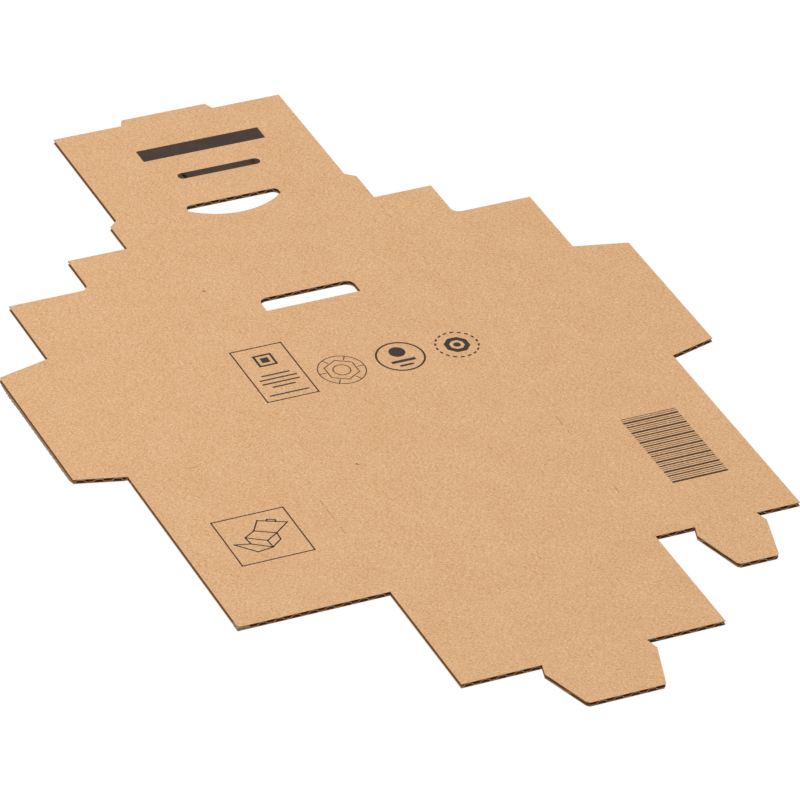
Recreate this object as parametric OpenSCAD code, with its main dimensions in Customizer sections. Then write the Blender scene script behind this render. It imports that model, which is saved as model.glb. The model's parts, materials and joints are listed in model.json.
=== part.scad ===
// Flat mailer box blank, die-cut from one sheet of corrugated board, printed side up.
// X runs along the box length, Y from the outer lid to the inner lid, Z up.
// The origin is the centre of the floor panel, on the underside, which is the inside of the box.
// Every panel folds down, away from the print, about a crease on the underside.

/* [Board] */
// Thickness of the corrugated board
board_t = 1.7; // [1.3:0.1:2.4]
// Thickness of each flat facing sheet
liner_t = 0.22; // [0.15:0.01:0.3]
// Thickness of the wavy middle sheet
medium_t = 0.22; // [0.15:0.01:0.3]
// Distance from one flute to the next
flute_pitch = 6.3; // [5.2:0.1:8]
// Half the width of the glued line where a flute meets a facing
glue_half = 1.1; // [0.5:0.05:1.2]
// Width of a cut between two panels
slit_w = 0.12; // [0.1:0.01:0.4]
// Width of the pressed groove along a crease
crease_w = 1.2; // [0.6:0.1:2]
// Depth of the pressed groove along a crease
crease_d = 0.12; // [0.05:0.01:0.14]
// Space left between two layers of board in the folded box
fold_gap = 0.3; // [0.2:0.05:0.6]

/* [Box] */
// Length of the floor panel between its side creases
floor_l = 100; // [80:1:160]
// Width of the floor panel between its lid creases
floor_w = 82.8; // [70:0.1:140]
// Height of the side walls
wall_h = 57; // [50:1:80]

/* [Dust flaps] */
// How far a dust flap reaches over the box
dust_l = 18.4; // [10:0.1:30]
// How much shorter each end of a dust flap is at its free edge
dust_taper = 5; // [2:0.1:8]
// Distance of a dust flap's root from the inner lid crease
dust_inset_far = 0.6; // [0.4:0.1:3]
// Distance of a dust flap's root from the outer lid crease
dust_inset_near = 4.8; // [4.2:0.1:8]

/* [Ear flaps] */
// Reach of the ear beyond the inner lid crease
ear_l = 55.5; // [45:0.1:70]
// Height of the ear above the floor crease
ear_h = 23.4; // [15:0.1:35]
// Reach of the upper part of the ear flap beyond the inner lid crease
ear_flap_l = 35.5; // [20:0.1:40]
// How much lower the ear flap is than the side wall
ear_flap_drop = 2.2; // [0.5:0.1:5]
// Radius in the corner between the ear and the upper part
ear_fillet_r = 3.2; // [1:0.1:5]

/* [Long flaps] */
// How much shorter the left long flap is than the box
left_flap_short = 8.5; // [5:0.1:30]
// How much shorter the right long flap is than the box
right_flap_short = 3; // [2.5:0.1:10]
// How much lower the long flaps are than the side wall
long_flap_drop = 0.2; // [0.2:0.1:3]
// Radius of the crushed corner of the left long flap
crushed_r = 1.6; // [0.5:0.1:4]

/* [Locking tabs] */
// Length of the side tab
side_tab_l = 25.2; // [15:0.1:30]
// Width of the side tab at its root
side_tab_root = 24; // [16:0.1:26]
// Width of the side tab at its shoulders
side_tab_wide = 27.2; // [18:0.1:30]
// Width of the side tab at its tip
side_tab_tip = 16.2; // [8:0.1:20]
// Distance of the side tab below the middle of its flap
side_tab_off = 1.1; // [0:0.1:3]
// Length of the lid tab
lid_tab_l = 24.7; // [15:0.1:35]
// Width of the lid tab at its root
lid_tab_root = 39.6; // [25:0.1:44]
// Width of the lid tab at its shoulders
lid_tab_wide = 42.4; // [28:0.1:48]
// Width of the lid tab at its tip
lid_tab_tip = 30; // [20:0.1:36]
// Distance of a tab's shoulders from its root
tab_shoulder = 5; // [3:0.1:8]

/* [Inner lid] */
// Width of the inner lid
inner_lid_l = 92.6; // [70:0.1:98]
// How much shorter the inner lid is than the floor is wide
inner_lid_short = 8; // [4:0.1:20]
// Distance from the inner lid crease to the start of its shoulders
shoulder_start = 12; // [8:0.1:20]
// Length of the sloping shoulders
shoulder_l = 3.2; // [1:0.1:8]
// Length of the inner lid's end tab
end_tab_l = 3.7; // [2:0.1:4]
// Width of the inner lid's end tab at its root
end_tab_root = 37.4; // [20:0.1:50]
// Width of the inner lid's end tab at its tip
end_tab_tip = 34.4; // [16:0.1:44]

/* [Slots] */
// Length of the straight slot at the foot of the inner lid wall
slot_l = 37.4; // [25:0.1:50]
// Height of the straight slot
slot_h = 8; // [5:0.1:14]
// Radius of the two upper corners of the straight slot
slot_r = 3.2; // [1:0.1:4.5]
// Length of the half-moon slot
moon_l = 37.4; // [25:0.1:46]
// Height of the half-moon slot at its middle
moon_h = 10.4; // [8:0.1:14]
// Height of the half-moon slot at its ends
moon_end_h = 3.6; // [3:0.1:5]
// Radius of the half-moon slot's two far corners
moon_r = 2.2; // [1:0.1:2.8]
// Distance from the inner lid crease to the half-moon's straight edge
moon_reach = 15.3; // [15:0.1:24]

/* [Hidden] */
kraft = "#dcb283";
eps = 0.01;
arc_steps = 6;
tab_chamfer = 1;

// One more layer of board, with the space that it needs
layer = board_t + fold_gap;

// Half sizes along X, from the centre line
floor_x = floor_l / 2;
column_x = floor_x - slit_w / 2;
flap_x = floor_x + slit_w / 2;
top_x = floor_x + wall_h;
ear_flap_x = top_x - ear_flap_drop;
long_flap_x = top_x - long_flap_drop;
dust_x = top_x + dust_l;

// Creases along the length, from the inner lid's end to the outer lid's end
inner_crease = floor_w / 2;
inner_lid_crease = inner_crease + wall_h + layer;
inner_lid_end = inner_lid_crease + floor_w - inner_lid_short;
outer_crease = -floor_w / 2;
outer_lid_crease = outer_crease - wall_h - 2 * layer;
outer_lid_end = outer_lid_crease - floor_w - layer;

// The flaps lie inside the lid walls, one layer after another, so their creases step in
right_ear_crease = inner_crease - layer;
left_ear_crease = inner_crease - 2 * layer;
left_long_crease = outer_crease + layer;
right_long_crease = outer_crease + 2 * layer;
left_flap_end = left_long_crease - floor_l + left_flap_short;
right_flap_end = right_long_crease - floor_l + right_flap_short;
side_tab_x = floor_x + wall_h / 2 - side_tab_off;

dust_far = inner_crease - dust_inset_far;
dust_near = outer_crease + dust_inset_near;

// A flat rectangle between two corners
module sheet(low, high) {
    translate(low) square(high - low);
}

// Points of an arc, from one angle to another
function arc(centre, r, from, to, steps = arc_steps) = [
    for (i = [0 : steps]) let (a = from + (to - from) * i / steps) centre + r * [cos(a), sin(a)]
];

// The two rounded far corners of a slot, from right to left
function far_corners(half, high, r) =
    concat(arc([half - r, high - r], r, 0, 90), arc([r - half, high - r], r, 90, 180));

// Slot at the foot of the inner lid wall, with its lower edge on the crease
module straight_slot() {
    half = slot_l / 2;
    low = inner_crease - eps;
    polygon(concat([[-half, low], [half, low]], far_corners(half, inner_crease + slot_h, slot_r)));
}

// Half-moon slot of the inner lid, with its straight edge on the far side
module half_moon() {
    edge = inner_lid_crease + moon_reach;
    half = moon_l / 2;
    rise = moon_h - moon_end_h;
    arc_r = (half * half + rise * rise) / (2 * rise);
    sweep = asin(half / arc_r);
    bow = arc([0, edge - moon_h + arc_r], arc_r, -90 - sweep, -90 + sweep, 3 * arc_steps);
    polygon(concat(bow, far_corners(half, edge, moon_r)));
}

// Edge of a locking tab that widens to its shoulders and narrows to its tip, on one side of its middle
function tab_edge(x, root_y, length, root, wide, tip, side) = [
    [x + side * root / 2, root_y], [x + side * wide / 2, root_y - tab_shoulder],
    [x + side * tip / 2, root_y - length + tab_chamfer],
    [x + side * (tip / 2 - tab_chamfer), root_y - length]
];

// Points of a list in the opposite order
function reversed(list) = [for (i = [len(list) - 1 : -1 : 0]) list[i]];

// Outline beside the centre column, from the inner lid's end tab down to the long flap
function upper_edge() = concat(
    [
        [end_tab_tip / 2, inner_lid_end + end_tab_l], [end_tab_root / 2, inner_lid_end],
        [inner_lid_l / 2, inner_lid_end],
        [inner_lid_l / 2, inner_lid_crease + shoulder_start + shoulder_l],
        [column_x, inner_lid_crease + shoulder_start],
        [column_x, inner_crease + ear_l], [floor_x + ear_h, inner_crease + ear_l]
    ],
    arc(
        [floor_x + ear_h + ear_fillet_r, inner_crease + ear_flap_l + ear_fillet_r],
        ear_fillet_r, 180, 270
    ),
    [
        [ear_flap_x, inner_crease + ear_flap_l], [ear_flap_x, dust_far],
        [dust_x, dust_far - dust_taper], [dust_x, dust_near + dust_taper],
        [long_flap_x, dust_near]
    ]
);

// Outline of the outer lid and half of its tab, down from the long flap
function lower_edge() = concat(
    [[column_x, outer_lid_end]],
    tab_edge(0, outer_lid_end, lid_tab_l, lid_tab_root, lid_tab_wide, lid_tab_tip, 1)
);

function right_flap_edge() = concat(
    [[long_flap_x, right_flap_end]],
    tab_edge(side_tab_x, right_flap_end, side_tab_l, side_tab_root, side_tab_wide, side_tab_tip, 1),
    reversed(
        tab_edge(side_tab_x, right_flap_end, side_tab_l, side_tab_root, side_tab_wide, side_tab_tip, -1)
    ),
    [[column_x, right_flap_end]]
);

function left_flap_edge() = concat(
    arc([long_flap_x - crushed_r, left_flap_end + crushed_r], crushed_r, 0, -90),
    [[column_x, left_flap_end]]
);

// Outline of the whole blank, down the right side and up the left
module blank() {
    right = concat(upper_edge(), right_flap_edge(), lower_edge());
    left = concat(upper_edge(), left_flap_edge(), lower_edge());
    polygon(concat(right, [for (p = reversed(left)) [-p[0], p[1]]]));
}

// Cut for the side tab, along the crease of the left long flap
module side_tab_slit() {
    sheet(
        [-side_tab_x - side_tab_wide / 2, left_long_crease - slit_w],
        [-side_tab_x + side_tab_wide / 2, left_long_crease]
    );
}

// Board section from x = low to x = high: two facings joined by a wavy sheet
module board_section(low, high) {
    wide = flute_pitch / 2 - glue_half;
    first = floor(low / flute_pitch) - 1;
    last = ceil(high / flute_pitch) + 1;
    difference() {
        translate([low, 0]) square([high - low, board_t]);
        for (i = [first : last]) {
            translate([i * flute_pitch, 0]) polygon([
                [-wide, board_t - liner_t], [wide, board_t - liner_t],
                [glue_half, liner_t + medium_t], [-glue_half, liner_t + medium_t]
            ]);
            translate([(i + 0.5) * flute_pitch, 0]) polygon([
                [-wide, liner_t], [wide, liner_t],
                [glue_half, board_t - liner_t - medium_t], [-glue_half, board_t - liner_t - medium_t]
            ]);
        }
    }
}

// Groove pressed into the underside, on one side of a crease or across it
module groove(low, high) {
    translate([low[0], low[1], -eps]) cube([high[0] - low[0], high[1] - low[1], crease_d + eps]);
}

module creases_along_x() {
    half = crease_w / 2;
    for (line = [
        [-column_x, column_x, inner_crease], [-column_x, column_x, inner_lid_crease],
        [-column_x, column_x, outer_crease], [-column_x, column_x, outer_lid_crease],
        [-lid_tab_root / 2, lid_tab_root / 2, outer_lid_end],
        [side_tab_x - side_tab_root / 2, side_tab_x + side_tab_root / 2, right_flap_end],
        [-top_x, -flap_x, left_ear_crease], [flap_x, top_x, right_ear_crease],
        [-top_x, -flap_x, left_long_crease], [flap_x, top_x, right_long_crease]
    ]) groove([line[0], line[2] - half], [line[1], line[2] + half]);
}

module creases_along_y() {
    half = crease_w / 2;
    for (x = [-top_x, -floor_x, floor_x, top_x]) groove([x - half, dust_near], [x + half, dust_far]);
}

// The part of the blank between two corners, in board with its flutes along Y
module panel(low, high) {
    color(kraft) difference() {
        intersection() {
            translate([0, high[1], 0]) rotate([90, 0, 0])
                linear_extrude(high[1] - low[1]) board_section(low[0], high[0]);
            translate([0, 0, -eps]) linear_extrude(board_t + 2 * eps) intersection() {
                difference() {
                    blank();
                    straight_slot();
                    half_moon();
                    side_tab_slit();
                }
                sheet(low, high);
            }
        }
        creases_along_x();
        creases_along_y();
    }
}

module floor_panel() { panel([-floor_x, outer_crease], [floor_x, inner_crease]); }
module left_wall() { panel([-top_x, left_long_crease], [-floor_x, left_ear_crease]); }
module right_wall() { panel([floor_x, right_long_crease], [top_x, right_ear_crease]); }
module left_dust_flap() { panel([-dust_x, dust_near], [-top_x, dust_far]); }
module right_dust_flap() { panel([top_x, dust_near], [dust_x, dust_far]); }
module left_ear_flap() {
    panel([slit_w - top_x, left_ear_crease], [-flap_x, inner_crease + ear_l]);
}
module right_ear_flap() {
    panel([flap_x, right_ear_crease], [top_x - slit_w, inner_crease + ear_l]);
}
module left_long_flap() { panel([-long_flap_x, left_flap_end], [-flap_x, left_long_crease]); }
module right_long_flap() { panel([flap_x, right_flap_end], [long_flap_x, right_long_crease]); }
module side_tab() {
    panel(
        [side_tab_x - side_tab_wide / 2, right_flap_end - side_tab_l],
        [side_tab_x + side_tab_wide / 2, right_flap_end]
    );
}
module inner_lid_wall() { panel([-column_x, inner_crease], [column_x, inner_lid_crease]); }
module inner_lid() { panel([-column_x, inner_lid_crease], [column_x, inner_lid_end + end_tab_l]); }
module outer_lid_wall() { panel([-column_x, outer_lid_crease], [column_x, outer_crease]); }
module outer_lid() { panel([-column_x, outer_lid_end], [column_x, outer_lid_crease]); }
module lid_tab() {
    panel([-lid_tab_wide / 2, outer_lid_end - lid_tab_l], [lid_tab_wide / 2, outer_lid_end]);
}

floor_panel();
left_wall();
right_wall();
left_dust_flap();
right_dust_flap();
left_ear_flap();
right_ear_flap();
left_long_flap();
right_long_flap();
side_tab();
inner_lid_wall();
inner_lid();
outer_lid_wall();
outer_lid();
lid_tab();
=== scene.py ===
"""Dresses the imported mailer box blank: board finish, creases, print, wear, stage and camera."""
import json
import math

import bmesh
import bpy
from mathutils import Matrix, Quaternion, Vector

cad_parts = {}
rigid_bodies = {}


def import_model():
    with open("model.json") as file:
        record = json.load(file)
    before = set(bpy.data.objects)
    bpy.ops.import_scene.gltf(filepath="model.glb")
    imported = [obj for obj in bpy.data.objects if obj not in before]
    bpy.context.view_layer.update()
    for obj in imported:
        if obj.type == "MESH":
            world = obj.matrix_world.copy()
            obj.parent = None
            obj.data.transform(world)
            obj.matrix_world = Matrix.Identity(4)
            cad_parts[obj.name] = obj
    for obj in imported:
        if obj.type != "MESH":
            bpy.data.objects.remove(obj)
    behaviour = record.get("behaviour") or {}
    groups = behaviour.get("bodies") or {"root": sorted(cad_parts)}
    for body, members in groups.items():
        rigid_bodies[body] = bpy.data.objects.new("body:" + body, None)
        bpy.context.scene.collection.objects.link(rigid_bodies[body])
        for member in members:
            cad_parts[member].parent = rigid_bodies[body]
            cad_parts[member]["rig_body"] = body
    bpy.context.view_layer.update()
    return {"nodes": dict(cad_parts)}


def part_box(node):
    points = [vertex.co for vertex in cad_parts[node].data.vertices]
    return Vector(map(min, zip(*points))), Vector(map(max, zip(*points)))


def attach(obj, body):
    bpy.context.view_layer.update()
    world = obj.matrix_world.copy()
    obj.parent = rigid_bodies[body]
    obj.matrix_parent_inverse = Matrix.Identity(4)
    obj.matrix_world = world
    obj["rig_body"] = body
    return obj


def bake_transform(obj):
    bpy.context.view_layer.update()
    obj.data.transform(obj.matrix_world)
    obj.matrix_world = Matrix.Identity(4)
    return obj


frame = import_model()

bl_info = {
    "name": "Mailer box blank",
    "version": (1, 0, 0),
    "blender": (4, 5, 0),
    "location": "View3D > Sidebar > Mailer box",
    "description": "Board finish, creases, print and stage of a flat mailer box blank",
    "category": "Object",
}

MM = 0.001
BOARD_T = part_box("floor_panel")[1].z

# Thickness of an outside sheet of the board, and the blur where its colour ends
SHEET_T = 0.16 * MM
SHEET_BLUR = 0.02 * MM

# Depth in which the painted shade on the outer sheets' cut edges fades into the rough cut
SHEET_SHADE_FROM, SHEET_SHADE_TO = 0.2 * MM, 0.4 * MM

# How deep the print starts below the face and how far it stands above it
INK_SUNK = 0.04 * MM
INK_PROUD = 0.012 * MM

# How much the grain moves red, green and blue
GRAIN_SHARES = (0.95, 1.6, 2.4)
WARM_PATCH = (0.80, 0.40, 0.20)
DARK_FLECK = (0.22, 0.12, 0.055)
LIGHT_FLECK = (0.88, 0.68, 0.46)
PAPER_SPECULAR = 0.25
INK_SPECULAR = 0.3
PAPER_BUMP, PAPER_BUMP_HEIGHT = 0.25, 0.06 * MM

# Crease: first panel, second panel, how far each end stays inside the narrower panel, and a gap in mm
CREASES = {
    "crease_left_wall": ("floor_panel", "left_wall", 0.0, None),
    "crease_right_wall": ("floor_panel", "right_wall", 0.0, None),
    "crease_left_dust_flap": ("left_wall", "left_dust_flap", 0.0, None),
    "crease_right_dust_flap": ("right_wall", "right_dust_flap", 0.0, None),
    "crease_left_ear_flap": ("left_wall", "left_ear_flap", 0.0, None),
    "crease_right_ear_flap": ("right_wall", "right_ear_flap", 0.0, None),
    "crease_left_long_flap": ("left_wall", "left_long_flap", 0.0, (-91.0, -63.8)),
    "crease_right_long_flap": ("right_wall", "right_long_flap", 0.0, None),
    "crease_side_tab": ("right_long_flap", "side_tab", 1.6, None),
    "crease_inner_lid_wall": ("floor_panel", "inner_lid_wall", 0.0, (-18.7, 18.7)),
    "crease_inner_lid": ("inner_lid_wall", "inner_lid", 0.0, None),
    "crease_outer_lid_wall": ("floor_panel", "outer_lid_wall", 0.0, None),
    "crease_outer_lid": ("outer_lid_wall", "outer_lid", 0.0, None),
    "crease_lid_tab": ("outer_lid", "lid_tab", 1.4, None),
}

# How far a crease stops short of each end of its run, in mm
CREASE_END = 0.02

# Paper that closes a die-cut slit from above: panel, axis across the slit, reach from the panel's edge,
# and runs along the slit, in mm
SLIT_LIPS = {
    "slit_lip_left_long": ("left_long_flap", 0, 0.112, ((-130.6, -94.5), (-90.0, -85.5), (-73.0, -41.8))),
    "slit_lip_outer_lid": ("outer_lid", 0, 0.112, ((-133.4, -106.5),)),
    "slit_lip_outer_wall": ("outer_lid_wall", 0, 0.112, (
        (-101.8, -69.0), (-66.0, -62.0), (-56.0, -42.0),
    )),
    "slit_lip_left_ear": ("left_ear_flap", 0, 0.112, ((41.8, 96.5),)),
    "slit_lip_right_ear": ("right_ear_flap", 0, -0.112, (
        (41.8, 52.0), (54.5, 62.5), (64.5, 71.5), (74.0, 82.0), (84.0, 89.0), (91.5, 96.5),
    )),
    "slit_lip_left_wall": ("left_wall", 1, -0.112, ((-90.9, -84.5), (-81.5, -63.9))),
}

# A lip's hold on its panel, and its lower and upper face below the board's, in mm
LIP_HOLD, LIP_LOW, LIP_HIGH = 0.03, 0.2, 0.002

# Print, in mm on the flat blank: places, lengths and widths
LID_BAR = ((4.1, 152.9), 49.8, 7.6)
LID_PILL = ((3.8, 135.2), 29.6, 3.9)
FRAME = ((-42.7, -12.5), (-22.2, 21.4))
FRAME_SQUARE = (-32.4, 12.6)
FRAME_LINES = ((3.4, 11.0), (0.9, 14.6), (-1.6, 14.6), (-4.1, 9.0), (-8.9, 15.4))
FRAME_LINE_WIDTH = 0.75
RING_MARK = (-9.1, -2.7)
DISC_MARK = (14.2, -2.4)
DASH_MARK = (36.6, -2.7)
MARK_LINE = 0.4
DRAWING_FRAME = ((-91.3, -99.6), (-63.5, -72.1))
DRAWING = (
    ((-83.5, -84.5), (-79.0, -81.8), (-72.0, -85.6), (-76.8, -88.6), (-83.5, -84.5)),
    ((-83.5, -84.5), (-83.0, -88.5), (-76.6, -92.8), (-76.8, -88.6)),
    ((-76.6, -92.8), (-72.2, -89.4), (-72.0, -85.6), (-66.0, -81.0), (-75.5, -76.6), (-79.0, -81.8)),
    ((-72.6, -77.9), (-72.0, -77.1), (-69.4, -78.3), (-69.5, -79.4)),
    ((-83.0, -88.5), (-88.6, -87.0), (-82.6, -93.6), (-76.6, -92.8)),
)
STRIPE_X, STRIPE_LENGTH, STRIPE_GAP = 81.3, 22.0, 0.72
STRIPE_FIRST, STRIPE_LAST = -108.0, -66.9
STRIPE_WIDTHS = (1.0, 0.36, 0.36, 0.7, 0.36)

# Wear, in mm: how far the lower sheet stands out at its ragged end, how it is held there, and the
# crushed corner's outline, its lower face and its depth below the board's near the corner and past it
RAGGED = (
    0.05, 0.2, 0.15, 0.4, 0.3, 0.55, 0.35, 0.7, 0.45, 0.8, 0.4, 0.85, 0.6, 0.9, 0.5, 0.75, 0.85, 0.6,
    0.8, 0.5, 0.7, 0.55, 0.65, 0.5, 0.6,
)
RAGGED_STEPS = 80
PLAIN_REACH, PLAIN_SWAY, PLAIN_TURN = 0.52, 0.07, 1.9
LAST_REACH = (0.3, 0.05)
FRAYED_INSET, FRAYED_HOLD, FRAYED_RISE = 0.6, 0.4, 0.12
FRAYED_LOW, FRAYED_HIGH = 0.03, 0.22
CRUSHED = (
    (-0.02, 4.2), (0.3, 4.2), (0.3, 0.3), (4.4, 0.3), (4.4, -0.02), (3.0, -0.14), (1.6, -0.08),
    (0.2, -0.2), (-0.18, 0.1), (-0.1, 1.5), (-0.16, 2.8),
)
CRUSHED_LOW, CRUSHED_NEAR = 0.1, 3
CRUSHED_DEPTH, CRUSHED_FAR_DEPTH = 0.08, 0.3
SPECKS = {
    "speck_inner_wall": ((-35.0, 61.4), "inner_lid_wall"),
    "speck_outer_wall": ((-28.8, -57.9), "outer_lid_wall"),
}

FLOOR_SIZE, FLOOR_DROP = 3.0, 0.05 * MM

# Place, size and share of the overhead light's strength
LIGHTS = {
    "overhead_light": ((-0.2, 0.3, 1.6), 1.6, 1.0),
    "side_light": ((-1.4, -0.3, 1.1), 1.0, 0.35),
}

# Azimuth, elevation and roll in degrees, and the point on the board that the camera looks at
CAMERA_TURN = (-27.218, 34.358, 3.680)
CAMERA_AIM = (0.0023, -0.0274)
CAMERA_LENS, CAMERA_SENSOR = 297.0, 36.0


def cuboid(bm, low, high):
    """A box between two corners in metres. Returns its vertices."""
    low, high = Vector(low), Vector(high)
    made = bmesh.ops.create_cube(bm, size=1.0)["verts"]
    bmesh.ops.scale(bm, vec=high - low, verts=made)
    bmesh.ops.translate(bm, vec=(low + high) / 2, verts=made)
    return made


def bar(bm, centre, length, width, angle=0.0):
    """A flat bar of ink, in mm on the printed face, turned about its centre."""
    made = cuboid(
        bm,
        (-length / 2 * MM, -width / 2 * MM, BOARD_T - INK_SUNK),
        (length / 2 * MM, width / 2 * MM, BOARD_T + INK_PROUD),
    )
    turn = Matrix.Rotation(math.radians(angle), 3, "Z")
    bmesh.ops.rotate(bm, cent=(0, 0, 0), matrix=turn, verts=made)
    bmesh.ops.translate(bm, vec=(centre[0] * MM, centre[1] * MM, 0), verts=made)
    return made


def line(bm, start, end, width):
    """A bar of ink from one point to another, in mm, with square ends half a width past them."""
    a, b = Vector(start), Vector(end)
    step = b - a
    return bar(bm, (a + b) / 2, step.length + width, width, math.degrees(math.atan2(step.y, step.x)))


def round_from(centre, radius, turn):
    """A point at a distance from a centre, turned by degrees from +X."""
    angle = math.radians(turn)
    return centre[0] + radius * math.cos(angle), centre[1] + radius * math.sin(angle)


def raise_ink(bm, faces):
    """Gives flat faces on the printed side the thickness of the ink."""
    out = bmesh.ops.extrude_face_region(bm, geom=faces)["geom"]
    top = [v for v in out if isinstance(v, bmesh.types.BMVert)]
    bmesh.ops.translate(bm, vec=(0, 0, INK_PROUD + INK_SUNK), verts=top)


def disc(bm, centre, radius, sides=48, turned=0.0):
    """A disc of ink, or a polygon with few sides, in mm."""
    place = Matrix.Translation((centre[0] * MM, centre[1] * MM, BOARD_T - INK_SUNK))
    made = bmesh.ops.create_circle(
        bm, cap_ends=True, segments=sides, radius=radius * MM,
        matrix=place @ Matrix.Rotation(math.radians(turned), 4, "Z"),
    )["verts"]
    raise_ink(bm, list({f for v in made for f in v.link_faces}))


def ring(bm, centre, radius, width, sides=64, turned=0.0):
    """A ring of ink, or a polygon's outline, in mm. The radius is the outer one."""
    place = Matrix.Translation((centre[0] * MM, centre[1] * MM, BOARD_T - INK_SUNK))
    made = bmesh.ops.create_circle(
        bm, cap_ends=True, segments=sides, radius=radius * MM,
        matrix=place @ Matrix.Rotation(math.radians(turned), 4, "Z"),
    )["verts"]
    face = list({f for v in made for f in v.link_faces})
    rim = bmesh.ops.inset_region(
        bm, faces=face, thickness=width * MM, use_even_offset=True, use_boundary=True,
    )["faces"]
    bmesh.ops.delete(bm, geom=face, context="FACES_ONLY")
    raise_ink(bm, rim)


def outline(bm, low, high, width):
    """A thin upright frame of ink between two corners in mm, its lines inside them."""
    (x0, y0), (x1, y1), h = low, high, width / 2
    for a, b in (
        ((x0 + h, y0 + h), (x1 - h, y0 + h)), ((x0 + h, y1 - h), (x1 - h, y1 - h)),
        ((x0 + h, y0 + h), (x0 + h, y1 - h)), ((x1 - h, y0 + h), (x1 - h, y1 - h)),
    ):
        line(bm, a, b, width)


def finish_piece(name, bm, material):
    """Makes an object at the origin from a bmesh, with one material in its one slot."""
    bmesh.ops.recalc_face_normals(bm, faces=bm.faces)
    mesh = bpy.data.meshes.new(name)
    bm.to_mesh(mesh)
    bm.free()
    mesh.materials.append(material)
    piece = bpy.data.objects.new(name, mesh)
    bpy.context.scene.collection.objects.link(piece)
    return piece


def node(tree, kind, **values):
    """Adds a shader node. Keys are node settings, or input names where the node has one."""
    made = tree.nodes.new(kind)
    for key, value in values.items():
        if key in made.inputs:
            made.inputs[key].default_value = value
        else:
            setattr(made, key, value)
    return made


def math_node(tree, operation, a, b=None, c=None):
    """Adds a Math node on numbers or sockets. Returns its output."""
    made = node(tree, "ShaderNodeMath", operation=operation)
    for socket, value in zip(made.inputs, (a, b, c)):
        if value is None:
            continue
        if isinstance(value, (int, float)):
            socket.default_value = value
        else:
            tree.links.new(value, socket)
    return made.outputs[0]


def ramp(tree, value, low, high, to_low=0.0, to_high=1.0):
    """Maps a value between two limits, smoothly and clamped."""
    made = node(tree, "ShaderNodeMapRange", interpolation_type="SMOOTHSTEP")
    for key, number in (("From Min", low), ("From Max", high), ("To Min", to_low), ("To Max", to_high)):
        made.inputs[key].default_value = number
    tree.links.new(value, made.inputs["Value"])
    return made.outputs["Result"]


def noise(tree, vector, scale, detail=2.0, roughness=0.5):
    """Cloudy noise from 0 to 1. The scale is per metre."""
    made = node(tree, "ShaderNodeTexNoise", Scale=scale, Detail=detail, Roughness=roughness)
    tree.links.new(vector, made.inputs["Vector"])
    return made.outputs["Fac"]


def stretched(tree, vector, scale):
    """Coordinates scaled on each axis."""
    made = node(tree, "ShaderNodeMapping", Scale=scale)
    tree.links.new(vector, made.inputs["Vector"])
    return made.outputs["Vector"]


def mixed(tree, factor, a, b, blend="MIX"):
    """Mixes two colours, each a socket or an RGBA value."""
    made = node(tree, "ShaderNodeMix", data_type="RGBA", blend_type=blend)
    for socket, value in ((made.inputs[0], factor), (made.inputs[6], a), (made.inputs[7], b)):
        if isinstance(value, bpy.types.NodeSocket):
            tree.links.new(value, socket)
        else:
            socket.default_value = value
    return made.outputs[2]


def group_sockets(tree, inputs, outputs):
    """Gives a node group its sockets. Returns what it is given and what it puts out."""
    for name, kind, value in inputs:
        socket = tree.interface.new_socket(name=name, in_out="INPUT", socket_type=kind)
        if value is not None:
            socket.default_value = value
    for name, kind in outputs:
        tree.interface.new_socket(name=name, in_out="OUTPUT", socket_type=kind)
    return tree.nodes.new("NodeGroupInput").outputs, tree.nodes.new("NodeGroupOutput").inputs


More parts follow.
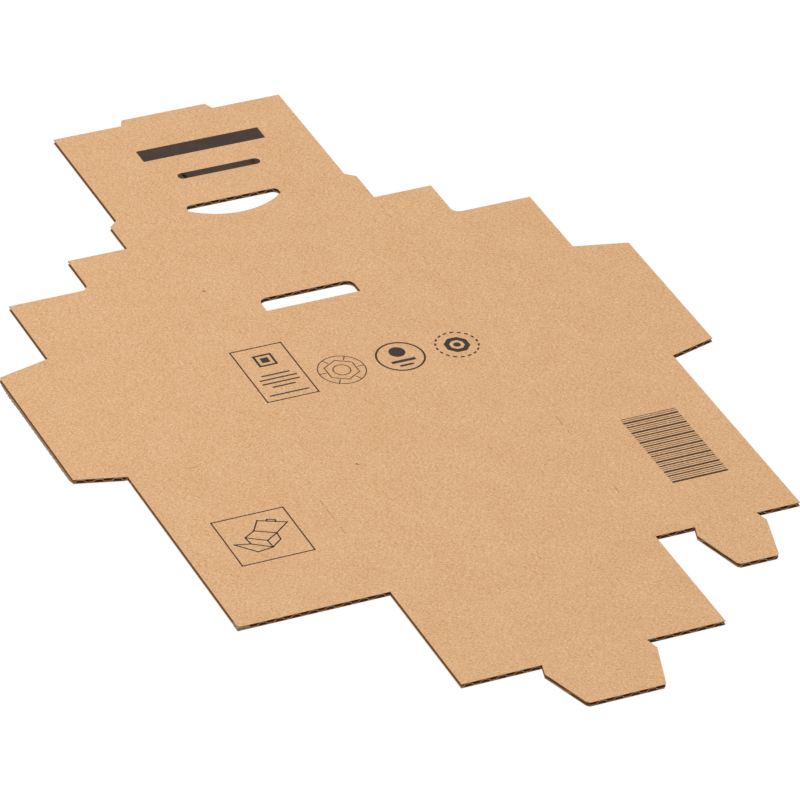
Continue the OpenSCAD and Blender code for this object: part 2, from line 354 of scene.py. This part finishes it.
def kraft_paper_group():
    """Brown paper: cloudy tone, fibres, dark and light flecks, and a fine height."""
    name = "kraft_paper"
    if name in bpy.data.node_groups:
        return bpy.data.node_groups[name]
    tree = bpy.data.node_groups.new(name, "ShaderNodeTree")
    given, out = group_sockets(
        tree,
        [
            ("Vector", "NodeSocketVector", None),
            ("Paper", "NodeSocketColor", (0.7, 0.43, 0.23, 1)),
            ("Cloud", "NodeSocketFloat", 0.03),
            ("Grain", "NodeSocketFloat", 0.06),
            ("Flecks", "NodeSocketFloat", 0.3),
        ],
        [("Color", "NodeSocketColor"), ("Height", "NodeSocketFloat"), ("Roughness", "NodeSocketFloat")],
    )
    where = given["Vector"]
    cloud = noise(tree, where, scale=55, detail=4, roughness=0.6)
    grain = noise(tree, stretched(tree, where, (0.8, 2.0, 1)), scale=2100, detail=3, roughness=0.7)
    fibre = noise(tree, stretched(tree, where, (0.28, 1.6, 1)), scale=3600, detail=2, roughness=0.5)
    tint = noise(tree, where, scale=230, detail=2, roughness=0.5)
    tone = math_node(tree, "MULTIPLY", math_node(tree, "SUBTRACT", cloud, 0.5), given["Cloud"])
    both = math_node(tree, "SUBTRACT", math_node(tree, "ADD", grain, fibre), 1.0)
    tone = math_node(tree, "ADD", tone, math_node(tree, "MULTIPLY", both, given["Grain"]))
    level = node(tree, "ShaderNodeCombineColor")
    for socket, share in zip(level.inputs, GRAIN_SHARES):
        tree.links.new(math_node(tree, "MULTIPLY_ADD", tone, share, 1.0), socket)
    color = mixed(tree, 1.0, given["Paper"], level.outputs[0], "MULTIPLY")
    warm = math_node(tree, "MULTIPLY", ramp(tree, tint, 0.35, 0.7), 0.035)
    color = mixed(tree, warm, color, (*WARM_PATCH, 1))
    dark = noise(tree, stretched(tree, where, (0.6, 1.6, 1)), scale=900, detail=1, roughness=0.4)
    dark = math_node(tree, "MULTIPLY", ramp(tree, dark, 0.735, 0.80), given["Flecks"])
    color = mixed(tree, dark, color, (*DARK_FLECK, 1))
    shift = node(tree, "ShaderNodeVectorMath", operation="ADD")
    tree.links.new(where, shift.inputs[0])
    shift.inputs[1].default_value = (3.1, 1.7, 0.9)
    along = stretched(tree, shift.outputs[0], (1.5, 0.7, 1))
    light = noise(tree, along, scale=1000, detail=1, roughness=0.4)
    light = math_node(tree, "MULTIPLY", ramp(tree, light, 0.72, 0.80), given["Flecks"])
    color = mixed(tree, light, color, (*LIGHT_FLECK, 1))
    tree.links.new(color, out["Color"])
    fibre_height = math_node(tree, "MULTIPLY", fibre, 0.4)
    tree.links.new(math_node(tree, "MULTIPLY_ADD", grain, 0.6, fibre_height), out["Height"])
    tree.links.new(ramp(tree, grain, 0.3, 0.7, 0.86, 0.95), out["Roughness"])
    return tree


def new_material(name):
    """A material with one Principled shader. Returns it, its node tree and the shader."""
    made = bpy.data.materials.new(name)
    made.use_nodes = True
    made.node_tree.nodes.clear()
    tree = made.node_tree
    output = node(tree, "ShaderNodeOutputMaterial")
    shader = node(tree, "ShaderNodeBsdfPrincipled")
    tree.links.new(shader.outputs[0], output.inputs["Surface"])
    return made, tree, shader


def paper(tree, color, settings):
    """Places the kraft paper group on Object coordinates."""
    where = node(tree, "ShaderNodeTexCoord").outputs["Object"]
    made = node(tree, "ShaderNodeGroup", node_tree=kraft_paper_group())
    made.inputs["Paper"].default_value = (*color, 1)
    made.inputs["Cloud"].default_value = settings.cloud
    made.inputs["Grain"].default_value = settings.grain
    made.inputs["Flecks"].default_value = settings.flecks
    tree.links.new(where, made.inputs["Vector"])
    return made.outputs, where


def paper_finish(tree, sheet, shader):
    """Gives a shader the paper's roughness, its dull shine and its fine height."""
    tree.links.new(sheet["Roughness"], shader.inputs["Roughness"])
    shader.inputs["Specular IOR Level"].default_value = PAPER_SPECULAR
    bump = node(tree, "ShaderNodeBump", Strength=PAPER_BUMP, Distance=PAPER_BUMP_HEIGHT)
    tree.links.new(sheet["Height"], bump.inputs["Height"])
    tree.links.new(bump.outputs[0], shader.inputs["Normal"])


def liner_material(settings, name, color):
    """One paper sheet of the board alone, as it shows round a crease or where it is torn."""
    made, tree, shader = new_material(name)
    sheet, _ = paper(tree, color, settings)
    tree.links.new(sheet["Color"], shader.inputs["Base Color"])
    paper_finish(tree, sheet, shader)
    return made


def board_material(settings, name):
    """Corrugated board: kraft sheets outside, rough paper on its cut edges with painted shade on parts of
    them, and painted shade in its flutes.
    """
    made, tree, shader = new_material(name)
    sheet, where = paper(tree, settings.paper, settings)
    axes = node(tree, "ShaderNodeSeparateXYZ")
    tree.links.new(where, axes.inputs[0])
    z = axes.outputs["Z"]
    facing = node(tree, "ShaderNodeSeparateXYZ")
    tree.links.new(node(tree, "ShaderNodeTexCoord").outputs["Normal"], facing.inputs[0])
    faces = {axis: math_node(tree, "ABSOLUTE", facing.outputs[axis]) for axis in "XYZ"}
    upright = ramp(tree, faces["Z"], 0.2, 0.5, 1, 0)
    top_sheet = BOARD_T - SHEET_T
    inside = math_node(
        tree, "MULTIPLY", ramp(tree, z, SHEET_T - SHEET_BLUR, SHEET_T + SHEET_BLUR),
        ramp(tree, z, top_sheet - SHEET_BLUR, top_sheet + SHEET_BLUR, 1, 0),
    )
    # Between the outer sheets the flute colour carries painted shade for the hollows of the flutes
    color = mixed(tree, inside, sheet["Color"], (*settings.flute_with_shade, 1))
    torn = noise(tree, stretched(tree, where, (1, 1, 3)), scale=1800, detail=2, roughness=0.6)
    fibres = ramp(tree, torn, 0.45, 0.8)
    rough_cut = mixed(tree, fibres, (*settings.cut_edge, 1), (*settings.cut_shade, 1))
    # Painted shade: the outer sheets' cut edges on upright faces turned along Y are painted dark for the
    # shade on these faces
    outer_sheets = math_node(
        tree, "MAXIMUM", ramp(tree, z, SHEET_SHADE_FROM, SHEET_SHADE_TO, 1, 0),
        ramp(tree, z, BOARD_T - SHEET_SHADE_TO, BOARD_T - SHEET_SHADE_FROM),
    )
    y_facing_shade = ramp(tree, faces["Y"], 0.3, 0.7)
    shade = math_node(tree, "MULTIPLY", outer_sheets, y_facing_shade)
    rough_cut = mixed(tree, shade, rough_cut, (*settings.painted_edge_shade, 1))
    # Painted shadow beneath the top sheet: the upper part of upright faces turned along X is painted dark
    lower = ramp(tree, z, 0.25 * BOARD_T, 0.6 * BOARD_T, 1, 0)
    along_flutes = ramp(tree, faces["X"], 0.3, 0.7)
    upper_shade = math_node(tree, "MULTIPLY", along_flutes, math_node(tree, "SUBTRACT", 1.0, lower))
    upper_shade = math_node(tree, "MULTIPLY", upper_shade, 0.8)
    rough_cut = mixed(tree, upper_shade, rough_cut, (*settings.painted_edge_shade, 1))
    lower_sheet = math_node(tree, "MULTIPLY", math_node(tree, "MULTIPLY", along_flutes, lower), 0.7)
    rough_cut = mixed(tree, lower_sheet, rough_cut, (*settings.torn, 1))
    color = mixed(tree, upright, color, rough_cut)
    tree.links.new(color, shader.inputs["Base Color"])
    paper_finish(tree, sheet, shader)
    return made


def ink_material(settings, paper_color, name):
    """Dark ink on brown paper, thin enough that some fibres show through."""
    made, tree, shader = new_material(name)
    where = node(tree, "ShaderNodeTexCoord").outputs["Object"]
    grain = noise(tree, stretched(tree, where, (1, 1.5, 1)), scale=2200, detail=2, roughness=0.6)
    patch = noise(tree, where, scale=160, detail=2, roughness=0.5)
    bare = math_node(tree, "MULTIPLY_ADD", grain, 0.75, math_node(tree, "MULTIPLY", patch, 0.25))
    bare = math_node(tree, "MULTIPLY", ramp(tree, bare, 0.52, 0.72), settings.wear)
    color = mixed(tree, bare, (*settings.ink, 1), (*paper_color, 1))
    tree.links.new(color, shader.inputs["Base Color"])
    tree.links.new(ramp(tree, grain, 0.3, 0.7, 0.7, 0.9), shader.inputs["Roughness"])
    shader.inputs["Specular IOR Level"].default_value = INK_SPECULAR
    return made


def shared(name, make):
    """The material of that name, made once."""
    return bpy.data.materials.get(name) or make(name)


def liner():
    """The outside paper sheet."""
    settings = bpy.context.scene.mailer_board
    return shared("kraft_liner", lambda name: liner_material(settings, name, settings.paper))


def torn_paper():
    """Paper that is torn or crushed."""
    settings = bpy.context.scene.mailer_board
    return shared("torn_paper", lambda name: liner_material(settings, name, settings.torn))


def board():
    """The panels' corrugated board."""
    return shared("cut_board", lambda name: board_material(bpy.context.scene.mailer_board, name))


def ink():
    """The print."""
    scene = bpy.context.scene
    return shared(
        "board_ink", lambda name: ink_material(scene.mailer_print, scene.mailer_board.paper, name),
    )


class MailerBoard(bpy.types.PropertyGroup):
    paper: bpy.props.FloatVectorProperty(
        name="Paper", description="Colour of the outside sheets",
        default=(0.718, 0.427, 0.2245), subtype="COLOR", size=3, min=0, max=1)
    cut_edge: bpy.props.FloatVectorProperty(
        name="Cut edge", description="Colour of the board's cut edges",
        default=(0.90, 0.70, 0.50), subtype="COLOR", size=3, min=0, max=1)
    cut_shade: bpy.props.FloatVectorProperty(
        name="Cut edge shade", description="Colour between the fibres of a cut edge",
        default=(0.30, 0.17, 0.08), subtype="COLOR", size=3, min=0, max=1)
    # Painted shade for the upright cut edges, not a colour of the board itself
    painted_edge_shade: bpy.props.FloatVectorProperty(
        name="Sheet cut edge",
        description="Colour of the flat sheets' cut edges where the die pressed them",
        default=(0.15, 0.09, 0.05), subtype="COLOR", size=3, min=0, max=1)
    # Painted shade: the wavy sheet's own kraft colour, darkened for the shade inside the flutes
    flute_with_shade: bpy.props.FloatVectorProperty(
        name="Flutes", description="Colour of the wavy sheet inside the board",
        default=(0.36, 0.14, 0.032), subtype="COLOR", size=3, min=0, max=1)
    torn: bpy.props.FloatVectorProperty(
        name="Torn paper", description="Colour of the torn fibres at a ragged edge",
        default=(0.38, 0.28, 0.195), subtype="COLOR", size=3, min=0, max=1)
    cloud: bpy.props.FloatProperty(
        name="Clouds", description="How much the tone drifts across the sheet",
        default=0.10, min=0, max=0.5)
    grain: bpy.props.FloatProperty(
        name="Grain", description="Strength of the fibres and grain",
        default=1.05, min=0, max=3)
    flecks: bpy.props.FloatProperty(
        name="Flecks", description="Strength of the dark and light flecks",
        default=0.35, min=0, max=1)


class MailerPrint(bpy.types.PropertyGroup):
    ink: bpy.props.FloatVectorProperty(
        name="Ink", description="Colour of the print",
        default=(0.05, 0.032, 0.024), subtype="COLOR", size=3, min=0, max=1)
    line: bpy.props.FloatProperty(
        name="Line width", description="Width of the thin printed lines",
        default=0.00055, min=0.0001, max=0.002, unit="LENGTH")
    wear: bpy.props.FloatProperty(
        name="Wear", description="How far the fibres show through the ink",
        default=0.14, min=0, max=1)


class MailerCrease(bpy.types.PropertyGroup):
    width: bpy.props.FloatProperty(
        name="Width", description="Width of board that turns at a crease",
        default=0.00016, min=0.00005, max=0.001, unit="LENGTH")
    proud: bpy.props.FloatProperty(
        name="Proud", description="Height of a crease above the printed face",
        default=0.00001, min=0, max=0.0002, unit="LENGTH")
    bends: bpy.props.IntProperty(
        name="Bends", description="Number of faces round a folded crease",
        default=8, min=2, max=24)


class MailerStage(bpy.types.PropertyGroup):
    floor: bpy.props.FloatVectorProperty(
        name="Floor", description="Colour of the floor",
        default=(0.93, 0.93, 0.93), subtype="COLOR", size=3, min=0, max=1)
    floor_cover: bpy.props.FloatProperty(
        name="Floor cover", description="How much the floor hides of a flap that is folded down past it",
        default=0.08, min=0, max=1, subtype="FACTOR")
    glow: bpy.props.FloatProperty(
        name="Floor glow", description="Light that the pale floor gives off", default=0.25, min=0, max=2)
    sky: bpy.props.FloatProperty(
        name="Sky", description="Strength of the light from all round", default=0.42, min=0, max=4)
    key: bpy.props.FloatProperty(
        name="Overhead light", description="Strength of the wide light overhead",
        default=17.0, min=0, max=500, unit="POWER")
    distance: bpy.props.FloatProperty(
        name="Camera distance", description="Distance from the camera to the board",
        default=2.346, min=0.5, max=10, unit="LENGTH")


class MAILER_OT_board(bpy.types.Operator):
    """Gives every panel of the blank its corrugated board finish"""
    bl_idname = "mailer.board"
    bl_label = "Board finish"

    def execute(self, context):
        finish = board()
        for panel in frame["nodes"].values():
            slots = panel.data.materials
            if not slots:
                raise RuntimeError(f"{panel.name} has no material slot")
            for index in range(len(slots)):
                slots[index] = finish
        return {"FINISHED"}


class MAILER_OT_creases(bpy.types.Operator):
    """Makes the pressed board along each crease"""
    bl_idname = "mailer.creases"
    bl_label = "Creases"

    def execute(self, context):
        settings = context.scene.mailer_crease
        half = settings.width / 2
        for name, (first, second, inset, gap) in CREASES.items():
            low_a, high_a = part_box(first)
            low_b, high_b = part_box(second)
            across = 0 if abs(min(high_a.x, high_b.x) - max(low_a.x, low_b.x)) < 1e-4 else 1
            along = 1 - across
            start = max(low_a[along], low_b[along]) + inset * MM
            end = min(high_a[along], high_b[along]) - inset * MM
            outward = 1 if low_b[across] + high_b[across] > low_a[across] + high_a[across] else -1
            at = high_a[across] if outward > 0 else low_a[across]
            runs = [(start, end)]
            if gap:
                runs = [(start, gap[0] * MM), (gap[1] * MM, end)]
            bm = bmesh.new()
            for a, b in runs:
                low, high = [0, 0, SHEET_T - SHEET_BLUR], [0, 0, BOARD_T + settings.proud]
                low[across], high[across] = at - half, at + half
                low[along], high[along] = a + CREASE_END * MM, b - CREASE_END * MM
                made = cuboid(bm, low, high)
                edges = {
                    e for v in made for e in v.link_edges
                    if abs(e.verts[0].co[across] - e.verts[1].co[across]) > half
                }
                bmesh.ops.subdivide_edges(bm, edges=list(edges), cuts=settings.bends - 1)
            piece = finish_piece(name, bm, liner())
            ends = [[0, 0, 0], [0, 0, 0]]
            ends[0][across], ends[1][across] = at - outward * half, at + outward * half
            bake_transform(piece)
        return {"FINISHED"}


class MAILER_OT_slit_lips(bpy.types.Operator):
    """Closes the die-cut slits from above with the paper that springs back over a cut"""
    bl_idname = "mailer.slit_lips"
    bl_label = "Slit lips"

    def execute(self, context):
        for name, (panel, across, reach, runs) in SLIT_LIPS.items():
            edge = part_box(panel)[1 if reach > 0 else 0][across]
            hold = math.copysign(LIP_HOLD, reach)
            bm = bmesh.new()
            for start, end in runs:
                low, high = [0, 0, BOARD_T - LIP_LOW * MM], [0, 0, BOARD_T - LIP_HIGH * MM]
                low[across], high[across] = sorted((edge - hold * MM, edge + reach * MM))
                low[1 - across], high[1 - across] = start * MM, end * MM
                cuboid(bm, low, high)
            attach(finish_piece(name, bm, liner()), panel)
        return {"FINISHED"}


class MAILER_OT_lid_print(bpy.types.Operator):
    """Prints the plain bars on the inner lid"""
    bl_idname = "mailer.lid_print"
    bl_label = "Lid print"

    def execute(self, context):
        bm = bmesh.new()
        bar(bm, *LID_BAR)
        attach(finish_piece("print_lid_bar", bm, ink()), "inner_lid")
        bm = bmesh.new()
        bar(bm, *LID_PILL)
        (x, y), length, width = LID_PILL
        for end in (x - length / 2, x + length / 2):
            disc(bm, (end, y), radius=width / 2, sides=24)
        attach(finish_piece("print_lid_pill", bm, ink()), "inner_lid")
        return {"FINISHED"}


class MAILER_OT_floor_print(bpy.types.Operator):
    """Prints the upright frame and the three plain round marks on the floor panel"""
    bl_idname = "mailer.floor_print"
    bl_label = "Floor print"

    def execute(self, context):
        thin = context.scene.mailer_print.line / MM
        bm = bmesh.new()
        outline(bm, *FRAME, thin)
        ring(bm, FRAME_SQUARE, radius=5.2, width=0.9, sides=4, turned=45)
        disc(bm, FRAME_SQUARE, radius=2.2, sides=4, turned=45)
        for y, length in FRAME_LINES:
            bar(bm, (FRAME_SQUARE[0], y), length, FRAME_LINE_WIDTH)
        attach(finish_piece("print_frame", bm, ink()), "floor_panel")

        bm = bmesh.new()
        ring(bm, RING_MARK, radius=9.0, width=MARK_LINE)
        ring(bm, RING_MARK, radius=6.6, width=MARK_LINE, sides=6)
        ring(bm, RING_MARK, radius=3.4, width=MARK_LINE)
        for turn in range(0, 360, 60):
            line(bm, round_from(RING_MARK, 6.3, turn), round_from(RING_MARK, 8.8, turn), MARK_LINE)
        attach(finish_piece("print_ring_mark", bm, ink()), "floor_panel")

        bm = bmesh.new()
        x, y = DISC_MARK
        ring(bm, DISC_MARK, radius=9.2, width=0.75)
        disc(bm, (x, y + 3.0), radius=3.1, sides=40)
        bar(bm, (x, y - 2.8), length=9.4, width=1.5)
        bar(bm, (x, y - 5.6), length=5.4, width=1.1)
        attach(finish_piece("print_disc_mark", bm, ink()), "floor_panel")

        bm = bmesh.new()
        for turn in range(0, 360, 20):
            bar(bm, round_from(DASH_MARK, 7.9, turn), length=0.75, width=1.5, angle=turn)
        ring(bm, DASH_MARK, radius=4.9, width=1.9, sides=8, turned=22.5)
        disc(bm, DASH_MARK, radius=1.4, sides=32)
        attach(finish_piece("print_dash_mark", bm, ink()), "floor_panel")
        return {"FINISHED"}


class MAILER_OT_flap_print(bpy.types.Operator):
    """Prints the square frame with an open box, and the field of stripes, on the long flaps"""
    bl_idname = "mailer.flap_print"
    bl_label = "Flap print"

    def execute(self, context):
        thin = context.scene.mailer_print.line / MM
        bm = bmesh.new()
        outline(bm, *DRAWING_FRAME, thin)
        for path in DRAWING:
            for a, b in zip(path, path[1:]):
                line(bm, a, b, thin)
        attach(finish_piece("print_box_drawing", bm, ink()), "left_long_flap")

        bm = bmesh.new()
        y, index = STRIPE_FIRST, 0
        while y < STRIPE_LAST:
            width = STRIPE_WIDTHS[index % len(STRIPE_WIDTHS)]
            bar(bm, (STRIPE_X, y + width / 2), STRIPE_LENGTH, width)
            y += width + STRIPE_GAP
            index += 1
        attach(finish_piece("print_stripes", bm, ink()), "right_long_flap")
        return {"FINISHED"}


class MAILER_OT_wear(bpy.types.Operator):
    """Adds the ragged lower sheet at the left dust flap, a crushed corner and two dark specks"""
    bl_idname = "mailer.wear"
    bl_label = "Wear"

    def execute(self, context):
        panel = frame["nodes"]["left_dust_flap"]
        low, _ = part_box("left_dust_flap")
        spots = [panel.matrix_world @ v.co for v in panel.data.vertices]
        edge = [spot.y for spot in spots if spot.x < low.x + 0.1 * MM]
        start = max(edge) - FRAYED_INSET * MM
        length = start - min(edge) - FRAYED_INSET * MM
        plain = range(len(RAGGED), RAGGED_STEPS - 1)
        sways = (PLAIN_REACH + PLAIN_SWAY * math.sin(PLAIN_TURN * step) for step in plain)
        reach = [*RAGGED, *sways, *LAST_REACH]
        bm = bmesh.new()
        made = cuboid(
            bm,
            (low.x - MM, start - length, FRAYED_LOW * MM),
            (low.x + FRAYED_HOLD * MM, start, FRAYED_HIGH * MM),
        )
        edges = {
            e for v in made for e in v.link_edges
            if abs(e.verts[0].co.y - e.verts[1].co.y) > length / 2
        }
        bmesh.ops.subdivide_edges(bm, edges=list(edges), cuts=RAGGED_STEPS - 1)
        for v in bm.verts:
            if v.co.x < low.x:
                index = round((start - v.co.y) * RAGGED_STEPS / length)
                v.co.x = low.x - reach[index] * MM
                if index < len(RAGGED):
                    v.co.z += FRAYED_RISE * MM * (index % 3)
        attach(finish_piece("frayed_liner", bm, torn_paper()), "left_dust_flap")

        low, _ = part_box("left_long_flap")
        bm = bmesh.new()
        corners = [
            bm.verts.new((low.x + x * MM, low.y + y * MM, CRUSHED_LOW * MM)) for x, y in CRUSHED
        ]
        face = bm.faces.new(corners)
        for v in bmesh.ops.extrude_face_region(bm, geom=[face])["geom"]:
            if isinstance(v, bmesh.types.BMVert):
                near = abs(v.co.x - low.x) + abs(v.co.y - low.y) < CRUSHED_NEAR * MM
                v.co.z = BOARD_T - (CRUSHED_DEPTH if near else CRUSHED_FAR_DEPTH) * MM
        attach(finish_piece("crushed_corner", bm, torn_paper()), "left_long_flap")

        for name, (centre, body) in SPECKS.items():
            bm = bmesh.new()
            disc(bm, centre, radius=0.38, sides=12)
            bar(bm, (centre[0] + 0.3, centre[1] - 0.2), length=1.1, width=0.3, angle=-50)
            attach(finish_piece(name, bm, ink()), body)
        return {"FINISHED"}


class MAILER_OT_stage(bpy.types.Operator):
    """Sets the floor, the lights and the camera"""
    bl_idname = "mailer.stage"
    bl_label = "Stage"

    def execute(self, context):
        scene, settings = context.scene, context.scene.mailer_stage
        bm = bmesh.new()
        bmesh.ops.create_grid(bm, x_segments=1, y_segments=1, size=FLOOR_SIZE)
        bmesh.ops.translate(bm, vec=(0, 0, -FLOOR_DROP), verts=bm.verts)
        mesh = bpy.data.meshes.new("floor")
        bm.to_mesh(mesh)
        bm.free()
        floor = bpy.data.objects.new("floor", mesh)
        scene.collection.objects.link(floor)
        finish, tree, shader = new_material("pale_floor")
        shader.inputs["Base Color"].default_value = (*settings.floor, 1)
        shader.inputs["Roughness"].default_value = 0.9
        shader.inputs["Emission Color"].default_value = (1, 1, 1, 1)
        shader.inputs["Emission Strength"].default_value = settings.glow
        shader.inputs["Alpha"].default_value = settings.floor_cover
        mesh.materials.append(finish)

        world = bpy.data.worlds.new("soft_studio")
        world.use_nodes = True
        tree = world.node_tree
        backdrop = tree.nodes["Background"]
        backdrop.inputs["Color"].default_value = (1, 1, 1, 1)
        seen = node(tree, "ShaderNodeLightPath").outputs["Is Camera Ray"]
        strength = node(tree, "ShaderNodeMapRange")
        strength.inputs["To Min"].default_value = settings.sky
        strength.inputs["To Max"].default_value = 1.0
        tree.links.new(seen, strength.inputs["Value"])
        tree.links.new(strength.outputs["Result"], backdrop.inputs["Strength"])
        scene.world = world

        for name, (place, size, share) in LIGHTS.items():
            light = bpy.data.lights.new(name, "AREA")
            light.size = size
            light.energy = settings.key * share
            lamp = bpy.data.objects.new(name, light)
            lamp.location = place
            lamp.rotation_mode = "QUATERNION"
            lamp.rotation_quaternion = (-Vector(place)).to_track_quat("-Z", "Y")
            scene.collection.objects.link(lamp)

        azimuth, elevation, roll = (math.radians(a) for a in CAMERA_TURN)
        back = Vector((
            math.sin(azimuth) * math.cos(elevation),
            -math.cos(azimuth) * math.cos(elevation),
            math.sin(elevation),
        ))
        camera = bpy.data.objects.new("camera", bpy.data.cameras.new("camera"))
        camera.data.lens = CAMERA_LENS
        camera.data.sensor_width = CAMERA_SENSOR
        camera.data.clip_start, camera.data.clip_end = 0.1, 20.0
        camera.location = Vector((*CAMERA_AIM, BOARD_T)) + back * settings.distance
        camera.rotation_mode = "QUATERNION"
        camera.rotation_quaternion = (
            (-back).to_track_quat("-Z", "Y") @ Quaternion((0, 0, 1), roll)
        )
        scene.collection.objects.link(camera)
        scene.camera = camera
        scene.view_settings.view_transform = "Standard"
        return {"FINISHED"}


class MAILER_PT_panel(bpy.types.Panel):
    """Sizes and colours of the mailer box blank"""
    bl_idname = "MAILER_PT_panel"
    bl_label = "Mailer box"
    bl_space_type = "VIEW_3D"
    bl_region_type = "UI"
    bl_category = "Mailer box"

    def draw(self, context):
        for group in SETTINGS:
            settings = getattr(context.scene, group)
            box = self.layout.box()
            for key in settings.bl_rna.properties.keys():
                if key not in ("rna_type", "name"):
                    box.prop(settings, key)
        for operator in OPERATORS:
            self.layout.operator(operator.bl_idname)


SETTINGS = {
    "mailer_board": MailerBoard,
    "mailer_print": MailerPrint,
    "mailer_crease": MailerCrease,
    "mailer_stage": MailerStage,
}
OPERATORS = (
    MAILER_OT_stage, MAILER_OT_board, MAILER_OT_creases, MAILER_OT_slit_lips,
    MAILER_OT_lid_print, MAILER_OT_floor_print, MAILER_OT_flap_print, MAILER_OT_wear,
)


def register():
    for group, kind in SETTINGS.items():
        bpy.utils.register_class(kind)
        setattr(bpy.types.Scene, group, bpy.props.PointerProperty(type=kind))
    for kind in (*OPERATORS, MAILER_PT_panel):
        bpy.utils.register_class(kind)


def unregister():
    for kind in reversed((*OPERATORS, MAILER_PT_panel)):
        bpy.utils.unregister_class(kind)
    for group, kind in reversed(SETTINGS.items()):
        delattr(bpy.types.Scene, group)
        bpy.utils.unregister_class(kind)


def main():
    register()
    for operator in OPERATORS:
        getattr(bpy.ops.mailer, operator.bl_idname.split(".")[1])()


if __name__ == "__main__":
    main()
